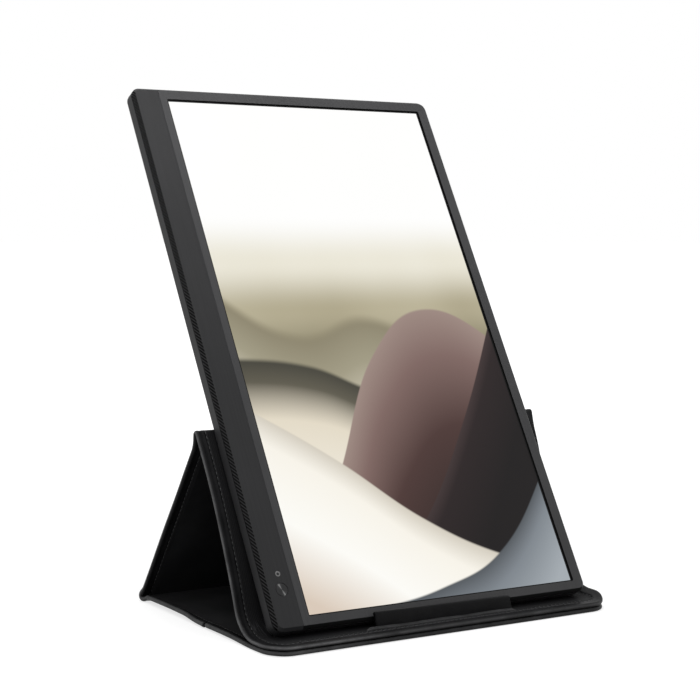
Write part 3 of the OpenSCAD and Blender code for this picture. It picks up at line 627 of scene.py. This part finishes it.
def wear_and_highlight(x, t, station):
    """How much of the rims' grey line a point carries, from 0 to 1: some real rubbing and mostly a
    painted highlight along the rim's outer side. It is painted softer and fainter on the base,
    and on the strip's front edges it fades towards the right, away from the key light."""
    # Painted light: the rims' line is softer and fainter on the base.
    on_base = 1 - float(smooth(t, starts["rear_fold"], starts["rear"]))
    off = abs(FROM_RIM[station] + 0.35 - 0.75 * on_base)
    line = float(smooth(-off, -RUB_HIGHLIGHT_REACH * (1 + on_base), -0.1))
    # Painted light: on the front edges the line fades towards the right.
    at_front = min(t, STRIP_LEN - t) < FRONT_EDGE
    front = float(smooth(x, -HALF_W + 30, -40)) if at_front else 0.0
    seam = 1.0 if SEAM_AT - SEAM_NIP < t < SEAM_AT else 0.0
    return line * (1 - 0.5 * on_base) * (1 - 0.6 * front) * (1 - seam)


def relief(x, t, d):
    """How far a point of the strip moves out along its normal: no stretch is quite flat, and
    the rear fold is fuller than the panels beside it."""
    inward = float(smooth(HALF_W - abs(x), 4, 9))
    outer = float(smooth(d, NEAR, FAR))
    past_fold = t - starts["rear_fold"]
    full = float(smooth(past_fold, 0, 3.4) * smooth(-past_fold, -9.5, -4.5))
    move = PANEL_WAVE * math.sin(t / 23 + 1.3) * math.sin(x / 41 + 0.4) * outer
    move += RIM_WAVE * (1 - inward) * math.sin(t / 9.5 + x / 60)
    return move + FOLD_SWELL * outer * full


def curled(x, t):
    """How far the flap's right border bends up, from 0 to 1."""
    near_edge = smooth(x, HALF_W - 8.3, HALF_W - 1)
    from_bend = smooth(t, starts["bend"] - 6, starts["flap"] - 4)
    to_front = 0.35 + 0.65 * smooth(-t, -STRIP_LEN + 4, -STRIP_LEN + 17)
    return float(near_edge * from_bend * to_front)


def lifted(t, border):
    """The base's border curls up off the table, most of all between its crease and the rear
    fold. In mm."""
    lift = (0.4 + 1.1 * border) * smooth(t, SEAM_AT + 7, SEAM_AT + 27)
    lift += 0.8 * border * smooth(t, 24, 50)
    return lift * smooth(-t, 1 - BASE_LEN, 7 - BASE_LEN)


def place(x, t, d):
    """A point of the strip, given across, along and out, in metres in the row frame."""
    line, outward = on_line(t)
    side = math.copysign(1, x)
    border = float(smooth(abs(x), HALF_W - 7, HALF_W - 2))
    # Folded leather stands out past the long edges
    x += side * border * FOLD_OUT * hump(t, starts["rear_fold"] + 2, 6)
    curl = 0.0
    if side > 0:
        curl = FLAP_CURL * curled(x, t)
        out = np.interp(t - starts["ridge"], *RIDGE_OUT)
        x += float(smooth(x, HALF_W - 16, HALF_W - 1) * out) + 0.35 * curl
    # Two lengths of the base's border meet in a seam: the one behind lies over the one in front
    past = t - SEAM_AT
    share = 1 - past / SEAM_BEHIND if past >= 0 else 1 + past / SEAM_BEFORE
    over = border * max(0.0, share) * (1 if past >= 0 else -1)
    wider, thicker = (0.5, 0.12) if over > 0 else (1.1, 0.3)
    x += side * wider * over
    d = MID + (d - MID) * (1 + thicker * over)
    y, z = line + outward * (d + relief(x, t, d))
    if t < starts["rear_fold"]:
        z += lifted(t, border)
    z += curl
    return (x * MM, float(y) * MM, float(max(z, 0.0)) * MM)


def link(name, data):
    """An object in the scene, at the origin."""
    made = bpy.data.objects.new(name, data)
    bpy.context.scene.collection.objects.link(made)
    return made


def leather_piece(name, shape, uvs, wear, materials, sharp, indices=None):
    """Piece from points and faces: its surface map in mm, how much rubbing and painted highlight
    each corner carries, normals outwards, and smooth shading up to an angle in degrees."""
    points, faces = shape
    mesh = bpy.data.meshes.new(name)
    mesh.from_pydata(points, [], faces)
    surface = mesh.uv_layers.new(name="surface")
    surface.data.foreach_set("uv", np.array(uvs, np.float32).ravel() * MM)
    corner_rub_and_highlight = mesh.attributes.new("wear_and_highlight", "FLOAT", "CORNER")
    corner_rub_and_highlight.data.foreach_set("value", np.array(wear, np.float32))
    for m in materials:
        mesh.materials.append(m)
    if indices:
        mesh.polygons.foreach_set("material_index", indices)
    mesh.shade_smooth()
    edit = bmesh.new()
    edit.from_mesh(mesh)
    bmesh.ops.recalc_face_normals(edit, faces=edit.faces)
    edit.to_mesh(mesh)
    edit.free()
    mesh.set_sharp_from_angle(angle=math.radians(sharp))
    return link(name, mesh)


class Sheet:
    """Mesh of quads whose corners are given on the unrolled strip."""

    def __init__(self):
        self.index = {}
        self.points, self.faces, self.uvs, self.wear, self.materials = [], [], [], [], []

    def corner(self, p):
        key = tuple(round(v, 4) for v in p)
        if key not in self.index:
            self.index[key] = len(self.points)
            self.points.append(place(*p))
        return self.index[key]

    def quad(self, corners, uvs, stations, material):
        ids = [self.corner(p) for p in corners]
        if len(set(ids)) < 3:
            return
        keep = [i for i in range(4) if ids[i] not in ids[:i]]
        self.faces.append([ids[i] for i in keep])
        self.uvs += [uvs[i] for i in keep]
        self.wear += [wear_and_highlight(*corners[i][:2], stations[i]) for i in keep]
        self.materials.append(material)


def cover_run(name, t0, t1, free_at=None):
    """One stretch of the cover as a closed shell, and its stitch lines. free_at is the end with
    round corners."""
    sheet = Sheet()
    free = free_at is not None
    flip = free_at == t1
    along = (lambda q: t1 - q) if flip else (lambda q: t0 + q)      # q: from the first end
    length = t1 - t0
    marks = [*starts.values(), STRIP_LEN] + [edge for low, high, _ in FINE for edge in (low, high)]
    rows = []
    q = CORNER_R if free else 0.0
    stops = sorted({length, *[abs(m - (t1 if flip else t0)) for m in marks if t0 < m < t1]})
    for stop in stops:
        if stop <= q:
            continue
        middle = along((q + stop) / 2)
        step = min([step for low, high, step in FINE if low < middle < high], default=PLAIN_STEP)
        count = max(1, math.ceil((stop - q) / step))
        rows += [q + (stop - q) * i / count for i in range(count)]
        q = stop
    rows.append(length)

    def ring(e_list, row):
        """Plan positions of the section's points on the left side, for one row."""
        kind, value = row
        if kind == "side":
            return [(-(HALF_W - e), value) for e in e_list]
        c, s = math.cos(value), math.sin(value)
        return [(-(HALF_W - CORNER_R) - (CORNER_R - e) * c, CORNER_R - (CORNER_R - e) * s)
                for e in e_list]

    grid_rows = [("side", r) for r in reversed(rows)]
    if free:
        grid_rows += [("arc", math.pi / 2 * i / ARC_ROWS) for i in range(1, ARC_ROWS + 1)]
    e_real = [e for e, _ in SECTION]
    heights = [d for _, d in SECTION]
    last = len(SECTION) - 1

    def material_between(i):
        if (e_real[i] + e_real[i + 1]) / 2 < BORDER + 0.4:
            return 0
        return 1 if i < last / 2 else 2

    def at(side, plan, *d):
        """Place on the strip of a plan position, with its height where one is given."""
        return (side * -plan[0], along(plan[1]), *d)

    for a, b in zip(grid_rows, grid_rows[1:]):
        pa, pb = ring(e_real, a), ring(e_real, b)
        ua, ub = ring(UNROLLED, a), ring(UNROLLED, b)
        for side in (-1, 1):
            for i in range(last):
                ends = ((pa, ua, i), (pa, ua, i + 1), (pb, ub, i + 1), (pb, ub, i))
                sheet.quad([at(side, p[k], heights[k]) for p, _, k in ends],
                           [at(side, u[k]) for _, u, k in ends],
                           [k for _, _, k in ends], material_between(i))
        for end, material in ((0, 1), (last, 2)):
            (xa, qa), (xb, qb) = pa[end], pb[end]
            for f, g in COLUMN_PAIRS:
                ends = [(xa * f, along(qa)), (xa * g, along(qa)),
                        (xb * g, along(qb)), (xb * f, along(qb))]
                sheet.quad([(*p, heights[end]) for p in ends], ends, (end,) * 4, material)
    half = HALF_W - CORNER_R
    if free:
        for f, g in COLUMN_PAIRS:
            for i in range(last):
                ends = [(half * f, i), (half * g, i), (half * g, i + 1), (half * f, i + 1)]
                sheet.quad([(-x, along(e_real[k]), heights[k]) for x, k in ends],
                           [(-x, along(UNROLLED[k])) for x, k in ends],
                           [k for _, k in ends], material_between(i))
    for row in grid_rows[:1] if free else (grid_rows[0], grid_rows[-1]):
        plan = ring(e_real, row)
        for side in (-1, 1):
            for i in range(last // 2):
                ends = (i, i + 1, last - i - 1, last - i)
                sheet.quad([at(side, plan[k], heights[k]) for k in ends],
                           [at(side, plan[k]) for k in ends], (0,) * 4, 0)
        x, q = plan[0]
        for f, g in COLUMN_PAIRS:
            ends = [(x * f, 0), (x * g, 0), (x * g, last), (x * f, last)]
            sheet.quad([(p, along(q), heights[k]) for p, k in ends],
                       [(p, along(q)) for p, _ in ends], (0,) * 4, 0)
    # Stitch lines run down the grooves of both faces. Fault: at a free end the line crosses over
    # from the wrong side, so the stitches there lie three times over and some stand upright.
    grooves = []
    for depth in (FAR - THREAD_AT, NEAR + THREAD_AT):
        right, left = ([at(side, ring([BORDER], row)[0], depth) for row in grid_rows]
                       for side in (1, -1))
        if free:
            across = [(-half + 2 * half * i / COLUMNS, along(BORDER), depth)
                      for i in range(1, COLUMNS)]
            grooves.append(right + across + left[::-1])
        else:
            grooves += [right, left]
    return leather_piece(name, (sheet.points, sheet.faces), sheet.uvs, sheet.wear,
                         (LEATHER, RIBBED, MICROFIBRE), 50, sheet.materials), grooves


def stitch_tree():
    """Geometry Nodes that lay one stitch after another along the edges of a mesh."""
    tree = bpy.data.node_groups.new("stitches_along_a_line", "GeometryNodeTree")
    sockets = {name: tree.interface.new_socket(name, in_out="INPUT", socket_type=kind).identifier
               for name, kind in (("Line", "NodeSocketGeometry"), ("Pitch", "NodeSocketFloat"),
                                  ("Stitch length", "NodeSocketFloat"),
                                  ("Thread width", "NodeSocketFloat"),
                                  ("Finish", "NodeSocketMaterial"))}
    tree.interface.new_socket("Stitches", in_out="OUTPUT", socket_type="NodeSocketGeometry")
    given = add(tree, "NodeGroupInput").outputs
    line = add(tree, "GeometryNodeMeshToCurve", {"Mesh": given["Line"]})
    spots = add(tree, "GeometryNodeCurveToPoints",
                {"Curve": line.outputs[0], "Length": given["Pitch"]}, mode="LENGTH")
    bead = add(tree, "GeometryNodeMeshUVSphere", {"Segments": 6, "Rings": 5, "Radius": 0.5})
    width = given["Thread width"]
    size = add(tree, "ShaderNodeCombineXYZ", {0: width, 1: width, 2: given["Stitch length"]})
    laid = add(tree, "GeometryNodeInstanceOnPoints",
               {"Points": spots.outputs["Points"], "Instance": bead.outputs["Mesh"],
                "Rotation": spots.outputs["Rotation"], "Scale": size.outputs[0]})
    real = add(tree, "GeometryNodeRealizeInstances", {"Geometry": laid.outputs[0]})
    finished = add(tree, "GeometryNodeSetMaterial", {"Geometry": real.outputs[0],
                                                     "Material": given["Finish"]})
    add(tree, "NodeGroupOutput", {"Stitches": finished.outputs[0]})
    return tree, sockets


def stitches(name, grooves):
    """A run's stitches as one plain mesh."""
    line = bpy.data.meshes.new(name + "_line")
    firsts = np.cumsum([0] + [len(g) for g in grooves])
    edges = [(first + i, first + i + 1)
             for first, g in zip(firsts, grooves) for i in range(len(g) - 1)]
    line.from_pydata([place(*p) for g in grooves for p in g], edges, [])
    guide = link(name + "_line", line)
    laid = guide.modifiers.new("stitches", "NODES")
    laid.node_group, sockets = STITCHES
    for key, value in (("Pitch", STITCH_PITCH * MM), ("Stitch length", STITCH_LENGTH * MM),
                       ("Thread width", THREAD_WIDTH * MM), ("Finish", THREAD)):
        laid[sockets[key]] = value
    bpy.context.view_layer.update()
    graph = bpy.context.evaluated_depsgraph_get()
    mesh = bpy.data.meshes.new_from_object(guide.evaluated_get(graph))
    bpy.data.objects.remove(guide)
    mesh.shade_smooth()
    return link(name, mesh)


REAR_CUT = starts["rear"] + NECK_AT / 2
LEAN_CUT = starts["lean"] + LEAN_LEN / 2
STITCHES = stitch_tree()
rear_run, rear_grooves = cover_run("cover_base_and_rear", 0.0, REAR_CUT, free_at=0.0)
apex_run, apex_grooves = cover_run("cover_over_apex", REAR_CUT, LEAN_CUT)
front_run, front_grooves = cover_run("cover_lean_and_flap", LEAN_CUT, STRIP_LEN, free_at=STRIP_LEN)
rear_stitches = stitches("stitches_base_and_rear", rear_grooves)
apex_stitches = stitches("stitches_over_apex", apex_grooves)
front_stitches = stitches("stitches_lean_and_flap", front_grooves)

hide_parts("base_leather", "base_lining",
            "rear_fold_strip", "rear_leather", "rear_lining")
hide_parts("apex_fold_strip", "rear_leather", "rear_lining",
            "lean_leather", "lean_lining")
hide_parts("lean_leather", "lean_lining", "front_bend_strip",
            "flap_leather", "flap_lining")


# Ranges a few millimetres each side of each fold's axis, over which its leather turns between
# # the two panels. They are worked out here but not used: the runs are only baked in place.
FOLD_HALF = 3.4
across_rear = facing(math.pi / 2 - STAND / 2)
rear_blend = (REAR_FOLD - FOLD_HALF * across_rear, REAR_FOLD + FOLD_HALF * across_rear)
apex_blend = (APEX + [4.6, 0], APEX - [4.0, 0])
bend_top, bend_facing = hollow_bend(0)
bend_blend = (bend_top + FAR * bend_facing, FRONT_BEND + [0, FAR])
for runs, bodies, ends in (((rear_run, rear_stitches), ("base", "rear_panel"), rear_blend),
                           ((apex_run, apex_stitches), ("rear_panel", "lean_panel"), apex_blend),
                           ((front_run, front_stitches), ("lean_panel", "flap"), bend_blend)):
    for run in runs:
        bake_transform(run)


# ---- Stop lip ---------------------------------------------------------------------------------

def loft(name, rings, wear, material):
    """Closed shell through rings of points in mm, with round-ish ends fanned to their middles.
    The third argument gives how much rubbing and painted highlight each point of a ring carries."""
    count = len(rings[0])
    points = [p for ring in rings for p in ring]
    faces, uvs, corner_rub_and_highlight = [], [], []
    first = rings[0]
    around = np.cumsum([0] + [math.dist(first[i], first[(i + 1) % count]) for i in range(count)])
    along = np.cumsum([0] + [math.dist(a[0], b[0]) for a, b in zip(rings, rings[1:])])
    for r in range(len(rings) - 1):
        for i in range(count):
            j = (i + 1) % count
            low, high = r * count, (r + 1) * count
            faces.append((low + i, low + j, high + j, high + i))
            uvs += [(along[r], around[i]), (along[r], around[i + 1]),
                    (along[r + 1], around[i + 1]), (along[r + 1], around[i])]
            corner_rub_and_highlight += [wear[i], wear[j], wear[j], wear[i]]
    for ring_at in (0, len(rings) - 1):
        middle = len(points)
        points.append(tuple(np.mean(rings[ring_at], axis=0)))
        for i in range(count):
            faces.append((ring_at * count + i, ring_at * count + (i + 1) % count, middle))
            uvs += [(around[i], 0), (around[i + 1], 0), (around[i], 1)]
            corner_rub_and_highlight += [0.0] * 3
    points = [tuple(np.array(p) * MM) for p in points]
    return leather_piece(name, (points, faces), uvs, corner_rub_and_highlight, (material,), 60)


LIP_ROUND, LIP_CORNER = 1.3, 0.9            # radius of the lip's ends, and of its top edges
LIP_MIDDLE = 11                             # rings between its two ends
LIP_DROP = 1.2                              # how much lower its right end is
# Left and right ends, at the foot and at the top
LIP_ENDS = ((lip_low[0] + 1.4, lip_high[0] + 1.0), (lip_low[0] - 0.8, lip_high[0] - 1.8))


def stop_lip():
    """Leather folded over a stiff core: a little skew, as it was sewn, and softly rounded."""
    foot, top = FLAP_TOP - 0.2, lip_high[2]
    rounded = [(LIP_ROUND * (1 - math.cos(a)), LIP_ROUND * (1 - math.sin(a)))
               for a in np.radians([0, 22, 45, 67, 90])]
    corner = [(LIP_CORNER * (1 - math.cos(a)), LIP_CORNER * (1 - math.sin(a)))
              for a in np.radians([0, 30, 60, 90])]
    # Each ring's share of the way to the right, its reach from the end and how far it draws in
    stations = ([(0.0, s, i) for s, i in rounded]
                + [(n / (LIP_MIDDLE + 1), 0.0, 0.0) for n in range(1, LIP_MIDDLE + 1)]
                + [(1.0, -s, i) for s, i in reversed(rounded)])
    rings = []
    for share, reach, inset in stations:
        high = top - LIP_DROP * share - inset
        # The skin swells a little over its core between the ends
        swell = 0.25 * math.sin(math.pi * share) + 0.08 * math.sin(9 * share)
        back, front = lip_high[1] - inset, lip_low[1] + inset - swell
        ring = [(back, foot)] + [(back - c, high - s) for c, s in corner]
        ring += [(front + s, high - c) for c, s in corner]
        ring += [(front, foot + (high - foot) * k) for k in (0.75, 0.5, 0.25)]
        ring.append((front - 0.1, foot))
        placed = []
        for y, z in ring:
            up = (z - foot) / (top - foot)
            left, right = (low + (above - low) * up for low, above in zip(*LIP_ENDS))
            placed.append((left + (right - left) * share + reach, y, z))
        rings.append(placed)
    return loft("stop_lip", rings, [0.0] * len(rings[0]), LEATHER)


WELT_RINGS = 41
WELT_LEFT, WELT_RIGHT = 6.5, 2.0            # how far it runs on past the lip
WELT_MIDDLE = -1.3                          # its profile's middle, which its ends close in on
WELT_FADE = 0.06                            # the share of its half length over which they do


def lip_welt():
    """The turned seam at the lip's foot: two rolls of leather side by side, each with a painted
    highlight along its crest.
    """
    profile = [(0.6, -0.3), (0.3, 0.9), (-0.1, 1.25), (-0.55, 1.2), (-0.95, 0.85), (-1.2, 0.55),
               (-1.5, 0.85), (-1.95, 1.05), (-2.4, 0.9), (-2.8, 0.5), (-3.1, 0.0), (-3.2, -0.3)]
    # Painted highlight along each roll's crest.
    wear = [0, 0.1, 0.4, 0.35, 0.15, 0, 0.15, 0.4, 0.25, 0.1, 0, 0]
    rings = []
    first_x, last_x = lip_low[0] - WELT_LEFT, lip_high[0] + WELT_RIGHT
    for n in range(WELT_RINGS):
        share = n / (WELT_RINGS - 1)
        past = max(0.0, abs(2 * share - 1) - (1 - WELT_FADE))
        fade = math.sqrt(max(0.0, 1 - past ** 2 / WELT_FADE ** 2))
        sway = 0.25 * math.sin(11 * share) + 0.15 * math.sin(23 * share + 1)
        x = first_x + (last_x - first_x) * share
        middle = lip_low[1] + sway + WELT_MIDDLE
        tall = (0.15 + 0.85 * fade) * (1 + 0.12 * math.sin(17 * share))
        rings.append([(x, middle + (y - WELT_MIDDLE) * (0.35 + 0.65 * fade),
                       FLAP_TOP - 0.05 + z * tall) for y, z in profile])
    return loft("stop_lip_welt", rings, wear, LEATHER)


lip, welt = stop_lip(), lip_welt()
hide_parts("stop_lip_skin", "stop_lip_core")
for piece in (lip, welt):
    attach(piece, "flap")


# ---- CAD pieces that stay ---------------------------------------------------------------------

def finish_node(name, made):
    """Gives a CAD node its material."""
    node = frame["nodes"][name]
    if not node.data.materials:
        node.data.materials.append(made)
    for slot in node.material_slots:
        slot.link = "OBJECT"
        slot.material = made


fibreboard = spark_plastic("fibreboard_pressed", "#7f6f55", "#95845f", 0.8, 0.4)
nickel = plain_metal("nickel_plated_magnet", "#a8abad", 0.3, 1.0)
tinplate = plain_metal("tinned_steel_rolled", "#b9bcbf", 0.35, 0.8)
chin = brushed_plastic("abs_hairline_dark", "#242425", "#2b2b2c", 0.5, 0.5, edge_x=2 - MON_W / 2)
bezel = brushed_plastic("abs_hairline_bezel", "#373738", "#404041", 0.5, 0.4, shade_below_z=MON_T - 0.12)
shell = spark_plastic("abs_matt_shell", "#272728", "#2e2e2f", 0.5, 0.25)
inner = spark_plastic("abs_black_inner", "#0b0b0c", "#101011", 0.6, 0.3)
solder_mask = spark_plastic("glass_epoxy_solder_mask", "#17513a", "#1d6244", 0.4, 1.5)
polyimide = spark_plastic("polyimide_film", "#a8691f", "#b97828", 0.35, 2.0)
diffuser = spark_plastic("pet_diffuser_film", "#efefe9", "#f4f4ef", 0.4, 0.2)
brass = plain_metal("brass_turned", "#b8964f", 0.3, 0.7)
clear = lamp_lens()
screen = lit_screen()
button = spun_button()

for names, made in (
        (("base_front_board", "base_rear_board", "rear_board", "lean_board", "flap_board",
          "stop_lip_core"), fibreboard),
        (("base_magnets", "flap_magnets"), nickel),
        (("backlight_tray", "board_shield", "usb_c_socket", "board_screws", "tact_switch"),
         tinplate),
        (("chin_cover",), chin), (("front_bezel",), bezel), (("rear_shell",), shell),
        (("mid_frame",), inner), (("main_board", "button_board"), solder_mask),
        (("led_strip", "display_flex"), polyimide), (("diffuser_stack", "light_guide"), diffuser),
        (("tripod_insert",), brass), (("status_lens",), clear), (("display_cell",), screen),
        (("power_button",), button)):
    for name in names:
        finish_node(name, made)


# ---- Floor, light and camera ------------------------------------------------------------------

FLOOR_HALF, FLOOR_Z = 6.0, -0.0002          # in metres; just under the object, which rests on it


def floor():
    mesh = bpy.data.meshes.new("floor")
    corners = [(sx * FLOOR_HALF, sy * FLOOR_HALF, FLOOR_Z)
               for sx, sy in ((-1, -1), (1, -1), (1, 1), (-1, 1))]
    mesh.from_pydata(corners, [], [(0, 1, 2, 3)])
    mesh.materials.append(floor_paper())
    made = link("floor", mesh)


def world():
    """Even white surroundings: white to the camera and to gloss, and softer as light."""
    made = bpy.data.worlds.new("studio")
    bpy.context.scene.world = made
    made.use_nodes = True
    tree = made.node_tree
    tree.nodes.clear()
    seen, path = seen_directly(tree)
    seen = calc(tree, "MAXIMUM", seen, path["Is Transmission Ray"])
    back = add(tree, "ShaderNodeBackground",
               {"Color": (1, 1, 1, 1), "Strength": map_range(tree, seen, 0.0, 1.0, 0.36, 1.0)})
    add(tree, "ShaderNodeOutputWorld", {"Surface": back.outputs[0]})


def soft_box(name, at, toward, size, watts):
    light = bpy.data.lights.new(name, "AREA")
    light.shape = "RECTANGLE"
    light.size, light.size_y = size
    light.energy = watts
    made = link(name, light)
    made.location = at
    made.rotation_euler = (Vector(toward) - Vector(at)).to_track_quat("-Z", "Y").to_euler()


CAMERA_AT = Vector((-624.7, -904.5, 259.3)) * MM
YAW, PITCH, ROLL = math.radians(33.572), math.radians(5.204), math.radians(-1.22)
FOCAL_PX, FRAME_PX, SENSOR_MM = 1796.0, 700.0, 36.0


def camera():
    level = math.cos(PITCH)
    ahead_of = Vector((math.sin(YAW) * level, math.cos(YAW) * level, -math.sin(PITCH)))
    right = Vector((math.cos(YAW), -math.sin(YAW), 0))
    down = ahead_of.cross(right)
    level_right = right * math.cos(ROLL) + down * math.sin(ROLL)
    level_down = down * math.cos(ROLL) - right * math.sin(ROLL)
    turned = Matrix((level_right, -level_down, -ahead_of)).transposed().to_4x4()
    data = bpy.data.cameras.new("camera")
    data.sensor_width = SENSOR_MM
    data.lens = FOCAL_PX / FRAME_PX * SENSOR_MM
    data.clip_start, data.clip_end = 0.05, 50
    made = link("camera", data)
    made.matrix_world = Matrix.Translation(CAMERA_AT) @ turned
    bpy.context.scene.camera = made


floor()
world()
soft_box("key", (-0.9, -0.9, 1.3), (0, 0, 0.2), (0.9, 0.9), 10)
soft_box("fill", (1.3, -0.8, 0.9), (0, 0, 0.15), (1.2, 1.2), 3)
soft_box("top", (0.1, 0.5, 1.6), (0, 0, 0.1), (1.4, 1.0), 9)
# Close over the monitor's head, so that its dark front grows lighter towards the top
soft_box("head", (-0.06, -0.06, 0.60), (-0.05, 0.12, 0.3), (0.25, 0.25), 1.05)
camera()
bpy.context.scene.view_settings.view_transform = "Standard"
